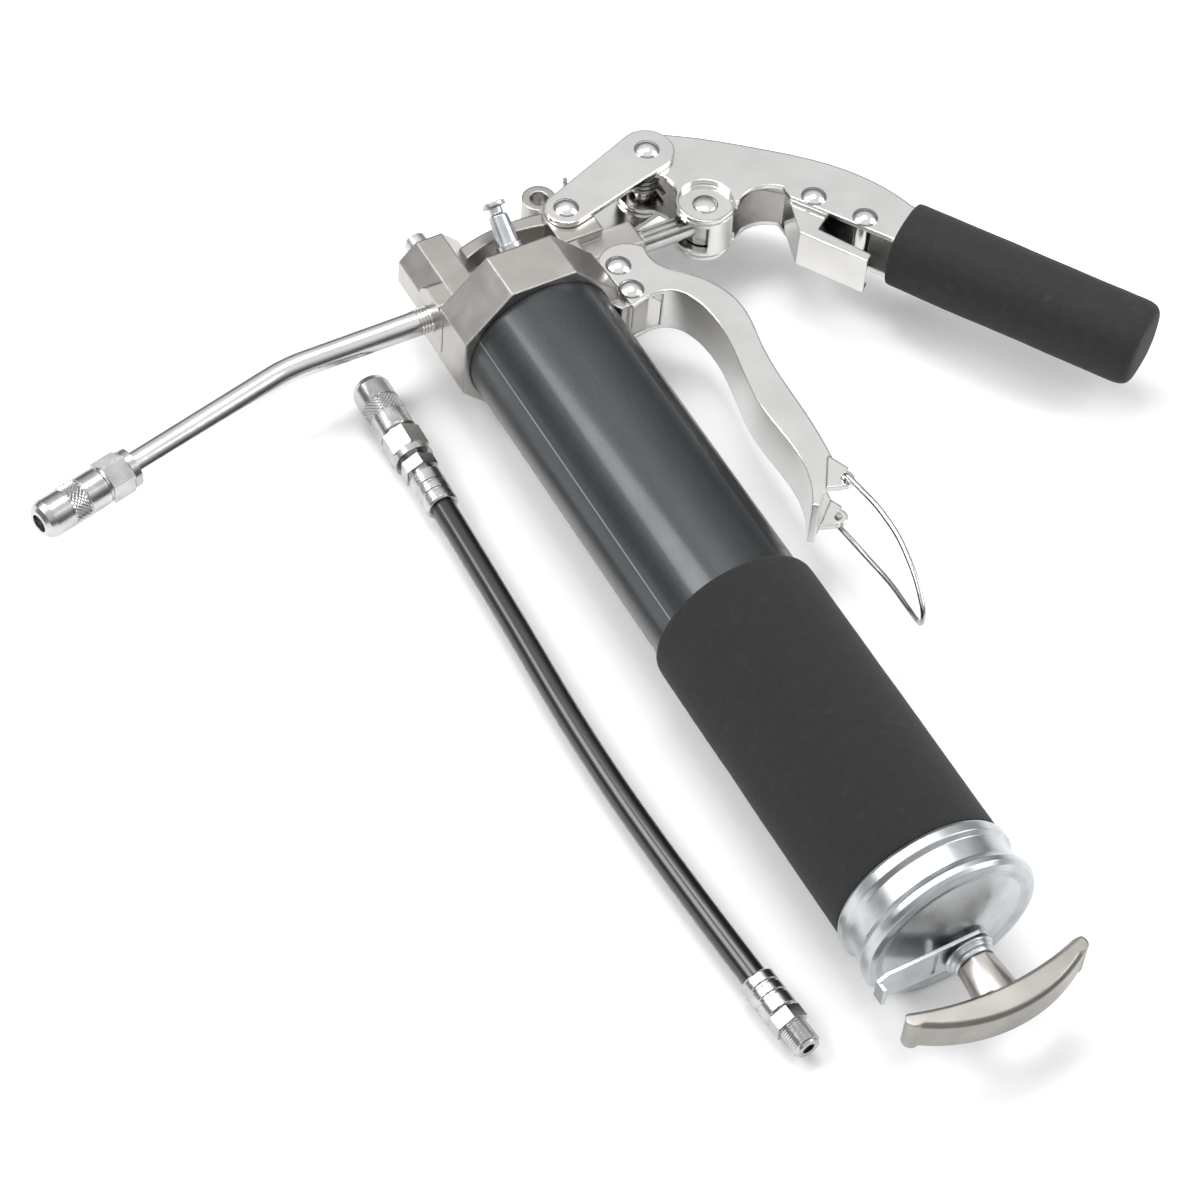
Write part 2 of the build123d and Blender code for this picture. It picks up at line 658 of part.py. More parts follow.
turned(
    [(4.05, T_NECK), (8.4, T_NECK), (8.8, T_NECK - 0.6), (8.4, T_NECK - 1.2), (7.6, T_NECK - 1.5), (8.0, T_NECK - 2.1),
     (7.6, T_NECK - 2.7), (7.0, T_NECK - 3.0), (7.2, T_NECK - 3.6), (6.8, T_NECK - 4.4), (4.05, T_NECK - 4.4)],
    "rod_collar",
)
with BuildPart() as t_handle:
    with BuildSketch(level(-6.5)):
        with BuildLine():
            outer = ThreePointArc((-31.0, -308.6), (0, -317.6), (31.0, -308.6))
            inner = ThreePointArc((-31.0, -302.6), (0, -307.4), (31.0, -302.6))
            ThreePointArc(outer @ 0, (-33.8, -305.8), inner @ 0)
            ThreePointArc(outer @ 1, (33.8, -305.8), inner @ 1)
        make_face()
    extrude(amount=13.0)
    chamfer(t_handle.faces().filter_by(Axis.Z).edges().filter_by(lambda e: e.length > 20), 1.4)
    with BuildSketch(across(T_NECK - 4.45)):
        RegularPolygon(6.6, 8, rotation=22.5)
    with BuildSketch(across(T_BAR + 1.0)):
        Ellipse(8.6, 5.8)
    loft()
    with BuildSketch(across(T_NECK - 4.0)):
        Circle(ROD_R + 0.03)
    extrude(amount=8.5, mode=Mode.SUBTRACT)
save(t_handle.part, "t_handle")


# ---------------------------------------------------------------- couplers
def coupler(name, plane, hollow):
    """Grease coupler along a plane's x axis: nut at 0 to 13, sleeve to 39.5 with a knurl at 21.5 to 28.5."""
    spin = spin_axis(plane)
    with BuildPart() as nut:
        with BuildSketch(Plane(origin=plane.origin, x_dir=plane.z_dir, z_dir=plane.x_dir)):
            Circle(7.4)
        extrude(amount=3.0)
        with BuildSketch(Plane(origin=plane.origin, x_dir=plane.z_dir, z_dir=plane.x_dir).offset(3.0)):
            RegularPolygon(7.0, 6, major_radius=False)
        extrude(amount=9.0)
        with BuildSketch(Plane(origin=plane.origin, x_dir=plane.z_dir, z_dir=plane.x_dir).offset(12.0)):
            Circle(6.6)
        extrude(amount=1.0)
        with BuildSketch(Plane(origin=plane.origin, x_dir=plane.z_dir, z_dir=plane.x_dir)):
            Circle(hollow)
        extrude(amount=13.0, mode=Mode.SUBTRACT)
    with BuildPart() as sleeve:
        with BuildSketch(plane):
            with BuildLine():
                Polyline(
                    (13.05, 4.0), (13.05, 6.9), (13.6, 7.3), (21.3, 7.3), (21.5, 6.9), (28.5, 6.9), (28.7, 7.3),
                    (36.0, 7.3), (38.2, 6.5), (39.5, 5.0), (39.5, 3.4), (36.0, 3.4), (35.0, 5.0), (24.0, 5.0),
                    (24.0, 4.0), close=True,
                )
            make_face()
        revolve(axis=spin)
    with BuildPart() as jaws:
        with BuildSketch(plane):
            with BuildLine():
                Polyline((28.0, 3.1), (28.0, 4.9), (34.4, 4.9), (35.6, 3.0), (34.2, 2.4), (30.0, 3.1), close=True)
            make_face()
        revolve(axis=spin)
        with BuildSketch(Plane(origin=plane.origin, x_dir=plane.z_dir, z_dir=plane.x_dir).offset(27.0)):
            with Locations((0, 0), Location((0, 0), 90)):
                Rectangle(12.0, 0.7)
        extrude(amount=11.0, mode=Mode.SUBTRACT)
    with BuildPart() as seal:
        with BuildSketch(plane):
            with BuildLine():
                Polyline((24.2, 0.9), (24.2, 4.8), (27.8, 4.8), (27.8, 2.2), (26.0, 0.9), close=True)
            make_face()
        revolve(axis=spin)
    save(nut.part, name + "_nut")
    save(sleeve.part, name + "_sleeve")
    save(jaws.part, name + "_jaws")
    save(seal.part, name + "_seal")


TUBE_DIR = 180.0 + TUBE_DROP
TUBE_RADIUS = 60.0
TUBE_STOP = COUPLER_FROM + 12.8
with BuildPart() as extension_tube:
    with BuildLine() as tube_path:
        FilletPolyline(
            at(OUTLET_X + 13.8, BORE_Y),
            at(*TUBE_TURN),
            at(TUBE_TURN[0] + TUBE_STOP * cos(radians(TUBE_DIR)), TUBE_TURN[1] + TUBE_STOP * sin(radians(TUBE_DIR))),
            radius=TUBE_RADIUS,
        )
    with BuildSketch(Plane(origin=tube_path.line @ 0, z_dir=tube_path.line % 0)):
        Circle(TUBE_R)
        Circle(TUBE_BORE, mode=Mode.SUBTRACT)
    sweep()
    # thread rings that show outside the casting
    for n in range(4):
        with BuildSketch(endwise(OUTLET_X - 1.0 - 1.2 * n)):
            with Locations((BORE_Y, 0)):
                Circle(TUBE_R + 1.0)
                Circle(TUBE_R - 0.35, mode=Mode.SUBTRACT)
        extrude(amount=-0.5, mode=Mode.SUBTRACT)
save(extension_tube.part, "extension_tube")
coupler(
    "tube_coupler",
    along(
        TUBE_TURN[0] + COUPLER_FROM * cos(radians(TUBE_DIR)),
        TUBE_TURN[1] + COUPLER_FROM * sin(radians(TUBE_DIR)), 0, TUBE_DIR,
    ),
    TUBE_R + 0.05,
)

# ---------------------------------------------------------------- spare hose
hose_points = [at(x, y, HOSE_Z) for x, y in HOSE_ROUTE]
RUNS = [Vector(*b) - Vector(*a) for a, b in zip(hose_points, hose_points[1:])]
HOSE_RADII = [
    0.45 * min(a.length, b.length) / tan(radians(a.get_angle(b) / 2)) for a, b in zip(RUNS, RUNS[1:])
]
with BuildPart() as hose_tube:
    with BuildLine() as hose_path:
        FilletPolyline(*hose_points, radius=HOSE_RADII)
    with BuildSketch(Plane(origin=hose_path.line @ 0, z_dir=hose_path.line % 0)):
        Circle(HOSE_R)
        Circle(HOSE_BORE, mode=Mode.SUBTRACT)
    sweep()
save(hose_tube.part, "hose_tube")


def heading(run):
    return degrees(atan2(run.Y, run.X))


HEAD_END = along(*HOSE_ROUTE[0], HOSE_Z, heading(RUNS[0]) + 180.0)
TAIL_END = along(*HOSE_ROUTE[-1], HOSE_Z, heading(RUNS[-1]))


def turned_on(plane, points):
    with BuildPart() as body:
        with BuildSketch(plane):
            with BuildLine():
                Polyline(*points, close=True)
            make_face()
        revolve(axis=spin_axis(plane))
    return body


# crimped ferrule at each end, with two pressed grooves
FERRULE = [
    (-12.0, HOSE_R + 0.05), (-12.0, 5.6), (-11.2, 6.2), (-8.0, 6.2), (-7.6, 5.7), (-6.8, 5.7), (-6.4, 6.2),
    (-3.6, 6.2), (-3.2, 5.7), (-2.4, 5.7), (-2.0, 6.2), (2.6, 6.2), (3.4, 5.4), (3.4, HOSE_BORE), (0.1, HOSE_BORE),
    (0.1, HOSE_R + 0.05),
]
save(turned_on(HEAD_END, FERRULE).part, "hose_ferrule_head")
save(turned_on(TAIL_END, FERRULE).part, "hose_ferrule_tail")


def hex_fitting(plane, hexes, name, profile):
    """Turned fitting with hexagons given as (from, to, across flats)."""
    with BuildPart() as body:
        with BuildSketch(plane):
            with BuildLine():
                Polyline(*profile, close=True)
            make_face()
        revolve(axis=spin_axis(plane))
        for start, stop, flats in hexes:
            with BuildSketch(Plane(origin=plane.origin, x_dir=plane.z_dir, z_dir=plane.x_dir).offset(start)):
                RegularPolygon(flats / 2, 6, major_radius=False)
                Circle(HOSE_BORE, mode=Mode.SUBTRACT)
            extrude(amount=stop - start)
    save(body.part, name)


hex_fitting(
    HEAD_END, [(5.0, 10.0, 12.0)], "hose_adapter",
    [(3.5, HOSE_BORE), (3.5, 5.0), (11.5, 5.0), (11.5, 4.8), (22.0, 4.8), (22.0, HOSE_BORE)],
)
THREAD = [(9.0 + 0.9 * n + shift, radius) for n in range(9) for shift, radius in ((0.0, 4.55), (0.45, 4.95))]
hex_fitting(
    TAIL_END, [(3.5, 8.6, 11.0)], "hose_nipple",
    [(3.5, HOSE_BORE), (3.5, 4.6), (8.6, 4.6)] + THREAD + [(17.2, 4.3), (18.0, 4.0), (18.0, HOSE_BORE)],
)
HOSE_COUPLER = along(
    HOSE_ROUTE[0][0] + 11.6 * cos(radians(heading(RUNS[0]) + 180.0)),
    HOSE_ROUTE[0][1] + 11.6 * sin(radians(heading(RUNS[0]) + 180.0)),
    HOSE_Z,
    heading(RUNS[0]) + 180.0,
)
coupler("hose_coupler", HOSE_COUPLER, 4.85)
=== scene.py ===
# %% [markdown]
# # A lever grease gun with a spare hose
#
# The shapes of this grease gun come from a CAD model, which is loaded first. This
# file gives it its looks: satin nickel castings, chromed pressings, metallic enamel on
# the barrel, foam sleeves and a rubber hose. Each step says what the real thing is and
# why it is made the way it is.

# %% Load the model and keep its box
import json
from math import atan2, cos, pi, radians, sin

import bmesh
import bpy
from mathutils import Matrix, Vector, noise


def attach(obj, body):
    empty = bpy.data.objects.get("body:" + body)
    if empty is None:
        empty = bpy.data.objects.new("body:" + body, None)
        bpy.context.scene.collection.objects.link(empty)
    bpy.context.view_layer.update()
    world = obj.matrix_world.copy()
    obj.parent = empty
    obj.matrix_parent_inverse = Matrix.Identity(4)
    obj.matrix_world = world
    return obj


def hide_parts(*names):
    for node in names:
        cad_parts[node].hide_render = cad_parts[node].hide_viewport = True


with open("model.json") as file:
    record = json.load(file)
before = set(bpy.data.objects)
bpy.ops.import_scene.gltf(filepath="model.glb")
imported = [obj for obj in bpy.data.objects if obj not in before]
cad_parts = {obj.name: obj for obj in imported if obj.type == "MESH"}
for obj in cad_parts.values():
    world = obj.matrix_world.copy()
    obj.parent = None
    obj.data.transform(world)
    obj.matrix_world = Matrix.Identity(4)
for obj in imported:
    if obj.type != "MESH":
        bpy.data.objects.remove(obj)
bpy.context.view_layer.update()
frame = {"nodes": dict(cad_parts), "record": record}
nodes = frame["nodes"]

# %% [markdown]
# Sizes are easiest to think of in millimetres from the gun's own landmarks: the barrel
# axis is x = 0, z = 0, and y = 0 is the mouth of the head casting. One function turns
# such a place into the model's metres.

# %% Millimetres on the gun to metres in the scene
MM = 0.001
MOUTH = Vector((-6.604, 124.763, 32.0))


def gun(x, y, z=0.0):
    """A place on the gun, in millimetres from the collar mouth, as a point in metres."""
    return (Vector((x, y, z)) + MOUTH) * MM


# %% [markdown]
# Colours are written the way paint charts give them, as sRGB hex values. Shaders work in
# linear light, so one function converts them.


# %% Colours from sRGB hex
def srgb(code):
    """'#rrggbb' as linear red, green, blue and alpha 1."""
    parts = [int(code[i : i + 2], 16) / 255 for i in (1, 3, 5)]
    return tuple(p / 12.92 if p <= 0.04045 else ((p + 0.055) / 1.055) ** 2.4 for p in parts) + (1.0,)


# %% [markdown]
# Every material below is a short chain of nodes. One helper adds a node, sets it up and
# plugs in its inputs: an input is given either a plain value or another node's output.


# %% One helper for nodes
def add_node(tree, kind, inputs=None, **settings):
    """Adds a node of that kind; inputs are values or sockets to link."""
    made = tree.nodes.new(kind)
    for name, value in settings.items():
        setattr(made, name, value)
    for key, value in (inputs or {}).items():
        if isinstance(value, bpy.types.NodeSocket):
            tree.links.new(value, made.inputs[key])
        else:
            made.inputs[key].default_value = value
    return made


def new_material(name, **sockets):
    """A material with a Principled shader whose uniform values are set on its own sockets."""
    material = bpy.data.materials.new(name)
    material.use_nodes = True
    tree = material.node_tree
    shader = tree.nodes["Principled BSDF"]
    for key, value in sockets.items():
        shader.inputs[key.replace("_", " ")].default_value = value
    place = add_node(tree, "ShaderNodeTexCoord").outputs["Object"]
    return material, tree, shader, place


def blend_colours(tree, shader, factor, dark, light, low=0.3, high=0.7):
    """Base colour that runs between two hex colours as factor goes from low to high."""
    ramp = add_node(tree, "ShaderNodeValToRGB", {"Fac": factor})
    ramp.color_ramp.elements[0].position = low
    ramp.color_ramp.elements[0].color = srgb(dark)
    ramp.color_ramp.elements[1].position = high
    ramp.color_ramp.elements[1].color = srgb(light)
    tree.links.new(ramp.outputs["Color"], shader.inputs["Base Color"])
    return ramp


def vary_roughness(tree, shader, factor, low, high):
    """Roughness that runs from low to high with factor."""
    spread = add_node(tree, "ShaderNodeMapRange", {"Value": factor, "To Min": low, "To Max": high})
    tree.links.new(spread.outputs["Result"], shader.inputs["Roughness"])


def raise_surface(tree, shader, height, depth_mm, strength=1.0, edge_mm=0.0):
    """Bump of that depth; edge_mm rounds the corners that the light sees."""
    inputs = {"Height": height, "Distance": depth_mm * MM, "Strength": strength}
    if edge_mm:
        inputs["Normal"] = add_node(tree, "ShaderNodeBevel", {"Radius": edge_mm * MM}, samples=6).outputs[0]
    bump = add_node(tree, "ShaderNodeBump", inputs)
    tree.links.new(bump.outputs["Normal"], shader.inputs["Normal"])
    return bump


def grain(tree, place, size_mm, detail=3.0, stretch=(1, 1, 1)):
    """Noise whose blotches are about size_mm across."""
    mapped = add_node(tree, "ShaderNodeMapping", {"Vector": place, "Scale": stretch})
    made = add_node(
        tree, "ShaderNodeTexNoise",
        {"Vector": mapped.outputs["Vector"], "Scale": 1.0 / (size_mm * MM), "Detail": detail},
    )
    return made.outputs["Fac"]


# %% [markdown]
# ## The camera
#
# The gun is seen from the T-handle's end, high over its left side, through a long lens.
# A long lens keeps the barrel from tapering too fast.

# %% Camera
AZIMUTH, ELEVATION, ROLL = radians(-32.84), radians(51.88), radians(5.36)
right = Vector((cos(AZIMUTH), sin(AZIMUTH), 0))
back = Vector((sin(AZIMUTH) * cos(ELEVATION), -cos(AZIMUTH) * cos(ELEVATION), sin(ELEVATION)))
over = back.cross(right)
camera_right = right * cos(ROLL) + over * sin(ROLL)
camera_up = over * cos(ROLL) - right * sin(ROLL)
camera_data = bpy.data.cameras.new("studio_camera")
camera_data.lens = 110.24
camera_data.sensor_width = 36.0
camera = bpy.data.objects.new("studio_camera", camera_data)
bpy.context.scene.collection.objects.link(camera)
turn = Matrix((camera_right, camera_up, back)).transposed()
camera.matrix_world = Matrix.Translation(gun(-455.7, -760.9, 983.3)) @ turn.to_4x4()
camera_data.clip_start, camera_data.clip_end = 0.05, 20.0
bpy.context.scene.camera = camera
bpy.context.scene.view_settings.view_transform = "Standard"
print("camera stands at", [round(c, 3) for c in camera.location])

# %% [markdown]
# ## Floor and light
#
# Bright metal shows what stands round it, so the light decides how it looks. A pale
# floor and a pale room keep the greys light, and a large lamp on each side leaves a
# darker gap between them, which draws the dark streaks along the chrome.

# %% Floor
floor_mesh = bpy.data.meshes.new("floor")
shape = bmesh.new()
bmesh.ops.create_grid(shape, x_segments=1, y_segments=1, size=3.0)
shape.to_mesh(floor_mesh)
shape.free()
floor = bpy.data.objects.new("floor", floor_mesh)
bpy.context.scene.collection.objects.link(floor)
floor_paint, tree, shader, place = new_material("white_paper_floor", Roughness=0.9)
blend_colours(tree, shader, grain(tree, place, 400.0), "#f3f3f3", "#f7f7f7")
floor_mesh.materials.append(floor_paint)


# %% Lamps and room
def lamp(name, position, aim, size, power, tint="#ffffff"):
    """A square soft box that points from its position to its aim."""
    data = bpy.data.lights.new(name, "AREA")
    data.shape = "RECTANGLE"
    data.size, data.size_y = size
    data.energy = power
    data.color = srgb(tint)[:3]
    made = bpy.data.objects.new(name, data)
    bpy.context.scene.collection.objects.link(made)
    made.location = position
    made.rotation_euler = (Vector(aim) - Vector(position)).to_track_quat("-Z", "Y").to_euler()
    return made


lamp("key_box", (-1.1, 0.6, 1.3), (0, 0, 0), (1.1, 0.8), 20)
lamp("fill_box", (1.3, -0.5, 1.1), (0, 0, 0), (0.9, 0.9), 11)
lamp("top_box", (0.1, 0.5, 1.7), (0, 0, 0), (0.9, 0.5), 12)
world = bpy.data.worlds.new("studio_room")
bpy.context.scene.world = world
world.use_nodes = True
tree = world.node_tree
direction = add_node(tree, "ShaderNodeTexCoord").outputs["Generated"]
height = add_node(tree, "ShaderNodeSeparateXYZ", {"Vector": direction}).outputs["Z"]
walls = add_node(tree, "ShaderNodeValToRGB", {"Fac": height})
walls.color_ramp.elements[0].position = 0.0
walls.color_ramp.elements[0].color = srgb("#9a9a9c")
walls.color_ramp.elements[1].position = 0.74
walls.color_ramp.elements[1].color = srgb("#ffffff")
for stop, code in ((0.25, "#5e5f63"), (0.5, "#c9c9cb")):
    walls.color_ramp.elements.new(stop).color = srgb(code)
tree.links.new(walls.outputs["Color"], tree.nodes["Background"].inputs["Color"])
tree.nodes["Background"].inputs["Strength"].default_value = 0.9

# %% [markdown]
# ## The castings
#
# The pump head and the T-handle are zinc or aluminium castings, tumbled smooth and
# nickel plated. Nickel is a warm, slightly yellow grey. Tumbling leaves soft edges and a
# surface that is gently uneven, so its reflections wander. The T-handle gets a darker
# copy of the same nickel: painted shade, which stands in for its darker reflections.



# %% Satin nickel casting
def cast_nickel(name, dark, light):
    """Nickel plated casting between two tones."""
    material, tree, shader, place = new_material(name, Metallic=1.0)
    blend_colours(tree, shader, grain(tree, place, 14.0), dark, light)
    vary_roughness(tree, shader, grain(tree, place, 5.0), 0.26, 0.36)
    raise_surface(tree, shader, grain(tree, place, 9.0, detail=2.0), 0.20, 0.25, edge_mm=1.1)
    return material


satin_nickel = cast_nickel("satin_nickel_casting", "#aeaba7", "#bebbb7")
# A darker copy of the same nickel for the T-handle: painted shade in its colour.
shade_darkened_nickel = cast_nickel("shade_darkened_nickel_handle", "#8d8a86", "#9f9c97")

# %% [markdown]
# ## Zinc plate
#
# The end cap, the latch and the small plugs are turned or pressed steel with bright zinc.
# Zinc grows in faint patches, a little bluer and duller than nickel.

# %% Bright zinc plate
bright_zinc, tree, shader, place = new_material("bright_zinc_plate", Metallic=1.0)
patches = add_node(
    tree, "ShaderNodeTexVoronoi", {"Vector": place, "Scale": 1 / (5.0 * MM)}, feature="SMOOTH_F1",
)
blend_colours(tree, shader, grain(tree, place, 9.0, 4.0), "#b3b6b8", "#c7cacc")
vary_roughness(tree, shader, patches.outputs["Distance"], 0.26, 0.42)
raise_surface(tree, shader, grain(tree, place, 4.0), 0.12, 0.4, edge_mm=0.4)

# %% [markdown]
# ## Chromed pressings
#
# The lever, the links, the pistol handle and the bent tube are steel with bright plate
# over it. The sheet was polished before plating, which leaves long shallow ripples: the
# reflections stay sharp and bend a little.

# %% Bright plated pressed steel
bright_plate, tree, shader, place = new_material("bright_plated_steel", Metallic=1.0)
blend_colours(tree, shader, grain(tree, place, 20.0), "#dddcda", "#e9e8e6")
vary_roughness(tree, shader, grain(tree, place, 3.0, 5.0), 0.10, 0.20)
raise_surface(tree, shader, grain(tree, place, 16.0), 0.30, 0.35, edge_mm=1.0)

# %% [markdown]
# ## Enamel on the barrel
#
# The barrel is a welded steel tube in gunmetal enamel. Fine metal flake in the paint
# sparkles a little under a clear, glossy face, and the ground-down weld shows as a hair
# line along the tube. The line sits at one angle round the barrel, so the pattern is
# turned to the barrel's axis and reads that angle.

# %% Gunmetal enamel
gunmetal, tree, shader, place = new_material(
    "gunmetal_enamel", Metallic=0.55, Coat_Weight=0.35, Coat_Roughness=0.12,
)
flake = add_node(tree, "ShaderNodeTexVoronoi", {"Vector": place, "Scale": 1 / (0.45 * MM)})
cloud = grain(tree, place, 40.0)
mixed = add_node(tree, "ShaderNodeMath", {0: flake.outputs["Distance"], 1: cloud}, operation="MULTIPLY")
paint = blend_colours(tree, shader, mixed.outputs[0], "#303335", "#3f4244", 0.05, 0.6)
axis_first = add_node(
    tree, "ShaderNodeMapping",
    {"Vector": place, "Location": gun(0, 0, 0), "Rotation": (radians(90), 0, 0)},
    vector_type="TEXTURE",
)
round_it = add_node(
    tree, "ShaderNodeTexGradient", {"Vector": axis_first.outputs["Vector"]}, gradient_type="RADIAL",
)
SEAM_TURN = 0.9264  # where the seam lies, as a share of a full turn
SEAM_HALF_WIDTH = 0.0022  # and half its width, as a share of a full turn
off_seam = add_node(tree, "ShaderNodeMath", {0: round_it.outputs["Fac"], 1: SEAM_TURN}, operation="SUBTRACT")
near = add_node(tree, "ShaderNodeMath", {0: off_seam.outputs[0]}, operation="ABSOLUTE")
line = add_node(
    tree, "ShaderNodeMapRange",
    {"Value": near.outputs[0], "From Max": SEAM_HALF_WIDTH, "To Min": 1.0, "To Max": 0.0},
)
seam = add_node(
    tree, "ShaderNodeMix",
    {"Factor": line.outputs["Result"], "A": paint.outputs["Color"], "B": srgb("#8d8f92")},
    data_type="RGBA",
)
tree.links.new(seam.outputs["Result"], shader.inputs["Base Color"])
vary_roughness(tree, shader, grain(tree, place, 12.0), 0.30, 0.42)
raise_surface(tree, shader, flake.outputs["Distance"], 0.02, 0.3, edge_mm=0.4)

# %% [markdown]
# ## Steel and spring wire
#
# The plunger and rod are ground bright. Ground steel has fine rings or lines from the
# stone. Spring wire is drawn, and a little rougher.

# %% Ground steel and drawn wire
ground_steel, tree, shader, place = new_material("ground_bright_steel", Metallic=1.0)
blend_colours(tree, shader, grain(tree, place, 8.0), "#b0afad", "#c6c5c3")
vary_roughness(tree, shader, grain(tree, place, 2.0), 0.14, 0.28)
raise_surface(tree, shader, grain(tree, place, 1.5), 0.03, 0.4, edge_mm=0.2)

spring_wire, tree, shader, place = new_material("drawn_spring_wire", Metallic=1.0)
blend_colours(tree, shader, grain(tree, place, 6.0), "#a5a3a0", "#bdbbb8")
vary_roughness(tree, shader, grain(tree, place, 2.0), 0.22, 0.36)
raise_surface(tree, shader, grain(tree, place, 1.0), 0.02, 0.4)

# %% [markdown]
# ## Coupler steel
#
# The couplers and the hose's fittings are turned steel with zinc plate, handled a lot, so
# the plate is bright and a little scratched.


# %% Zinc plated fittings
def fitting_steel(name, edge_mm):
    """Zinc plated turned steel; edge_mm rounds its corners."""
    material, tree, shader, place = new_material(name, Metallic=1.0)
    blend_colours(tree, shader, grain(tree, place, 6.0, 4.0), "#aeafaf", "#c6c6c5")
    vary_roughness(tree, shader, grain(tree, place, 2.5), 0.18, 0.32)
    raise_surface(tree, shader, grain(tree, place, 3.0), 0.05, 0.4, edge_mm=edge_mm)
    return material


plain_coupler = fitting_steel("zinc_plated_fitting", 0.3)
knurled_steel = fitting_steel("zinc_plated_knurl", 0.0)

# %% [markdown]
# ## Knurled bands
#
# The coupler's sleeve is gripped by hand, so a band of it is knurled. Two sets of diagonal
# grooves cross and leave small pyramids a little over a millimetre apart. A ring is spun
# with rows of points about 0.7 mm apart, and every other point is a peak. The quads are
# then cut between their low corners, which makes the grooves. The ring's inner part lies
# inside the sleeve's metal.

# %% Spin a band of pyramids
KNURL_FROM, KNURL_TO = 21.6, 28.4
KNURL_ROWS, KNURL_STEPS = 9, 60
KNURL_BASE, KNURL_PEAK = 6.95, 7.45


def knurled_band(name, start, out, body):
    """start is where the coupler's axis begins and out is its direction."""
    rise = (KNURL_TO - KNURL_FROM) / KNURL_ROWS
    outline = [(6.5, KNURL_TO), (6.5, KNURL_FROM)]
    outline += [(KNURL_BASE, KNURL_FROM + rise * row) for row in range(KNURL_ROWS + 1)]
    shape = bmesh.new()
    points = [shape.verts.new((radius * MM, 0, height * MM)) for radius, height in outline]
    edges = [shape.edges.new(pair) for pair in zip(points, points[1:] + points[:1])]
    bmesh.ops.spin(
        shape, geom=points + edges, cent=(0, 0, 0), axis=(0, 0, 1), angle=2 * pi, steps=KNURL_STEPS,
        use_merge=True,
    )
    bmesh.ops.remove_doubles(shape, verts=shape.verts, dist=0.01 * MM)
    for vertex in shape.verts:
        row = round((vertex.co.z / MM - KNURL_FROM) / rise)
        column = round(atan2(vertex.co.y, vertex.co.x) / (2 * pi) * KNURL_STEPS)
        on_face = vertex.co.xy.length > 6.8 * MM
        if on_face and 0 < row < KNURL_ROWS and (row + column) % 2:
            vertex.co.xy *= KNURL_PEAK / KNURL_BASE
    bmesh.ops.recalc_face_normals(shape, faces=shape.faces)
    bmesh.ops.triangulate(shape, faces=shape.faces, quad_method="SHORT_EDGE")
    mesh = bpy.data.meshes.new(name)
    shape.transform(Matrix.Translation(start) @ out.to_track_quat("Z", "Y").to_matrix().to_4x4())
    shape.to_mesh(mesh)
    shape.free()
    mesh.materials.append(knurled_steel)
    band = bpy.data.objects.new(name, mesh)
    bpy.context.scene.collection.objects.link(band)
    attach(band, body)
    print(name, "has", len(mesh.polygons), "faces")
    return band


TUBE_HEADING = 194.1
HOSE_ROUTE = [
    gun(x, y, -23.8)
    for x, y in ((-57.0, -24.0), (-58.5, -85.0), (-61.5, -146.0), (-60.0, -207.0), (-55.5, -268.0))
]
hose_out = (HOSE_ROUTE[0] - HOSE_ROUTE[1]).normalized()
tube_out = Vector((cos(radians(TUBE_HEADING)), sin(radians(TUBE_HEADING)), 0))
knurled_band("tube_coupler_knurl", gun(-88.0, 27.5) + tube_out * 70 * MM, tube_out, "head")
hose_knurl = knurled_band("hose_coupler_knurl", HOSE_ROUTE[0] + hose_out * 11.6 * MM, hose_out, "hose")

# %% [markdown]
# ## Rubber
#
# The hose has a smooth extruded cover that shines. The seals are plain dull rubber.

# %% Hose cover and seals
hose_cover, tree, shader, place = new_material("glossy_hose_cover", Coat_Weight=0.4, Coat_Roughness=0.12)
blend_colours(tree, shader, grain(tree, place, 12.0, stretch=(1, 0.2, 1)), "#131313", "#1c1c1c")
vary_roughness(tree, shader, grain(tree, place, 5.0, stretch=(1, 0.2, 1)), 0.22, 0.36)
raise_surface(tree, shader, grain(tree, place, 3.0, stretch=(1, 0.15, 1)), 0.08, 0.3)

seal_rubber, tree, shader, place = new_material("dull_seal_rubber")
blend_colours(tree, shader, grain(tree, place, 3.0), "#1b1b1b", "#262626")
vary_roughness(tree, shader, grain(tree, place, 1.0), 0.55, 0.75)
raise_surface(tree, shader, grain(tree, place, 0.6), 0.03, 0.4)

# %% [markdown]
# ## Foam sleeves
#
# Both grips are closed-cell foam. Its skin is dead matte, covered with pores of about
# half a millimetre, with paler scuffs where it has been handled.


# %% Closed-cell foam
def foam(name, dark, light, scuff):
    """Matte foam between two tones, with paler rubbed patches."""
    material, tree, shader, place = new_material(
        name, Sheen_Weight=0.05, Sheen_Roughness=0.6, Specular_IOR_Level=0.35,
    )
    blend_colours(tree, shader, grain(tree, place, 3.0, 6.0), dark, light)
    ramp = shader.inputs["Base Color"].links[0].from_socket
    rubbed = add_node(
        tree, "ShaderNodeMapRange",
        {"Value": grain(tree, place, 7.0, 8.0), "From Min": 0.62, "From Max": 0.8},
    )
    worn = add_node(
        tree, "ShaderNodeMix",
        {"Factor": rubbed.outputs["Result"], "A": ramp, "B": srgb(scuff)}, data_type="RGBA",
    )
    tree.links.new(worn.outputs["Result"], shader.inputs["Base Color"])
    vary_roughness(tree, shader, grain(tree, place, 2.0), 0.82, 0.95)
    pores = add_node(tree, "ShaderNodeTexVoronoi", {"Vector": place, "Scale": 1 / (0.8 * MM)})
    raise_surface(tree, shader, pores.outputs["Distance"], 0.18, 0.6)
    return material


barrel_foam = foam("charcoal_foam", "#1d1d1d", "#212121", "#2a2a2a")
lever_foam = foam("warm_charcoal_foam", "#242223", "#292728", "#322f30")

# %% [markdown]
# The CAD grips are hard, exact solids. Foam is softer: its ends are round and its face
# undulates a little. A sleeve is round about one axis, so its outline is drawn once and
# spun. The outline has a point every few millimetres, which gives noise something to
# move, and one subdivision makes it smooth. Foam this firm doesn't drape, so no cloth
# simulation is needed.


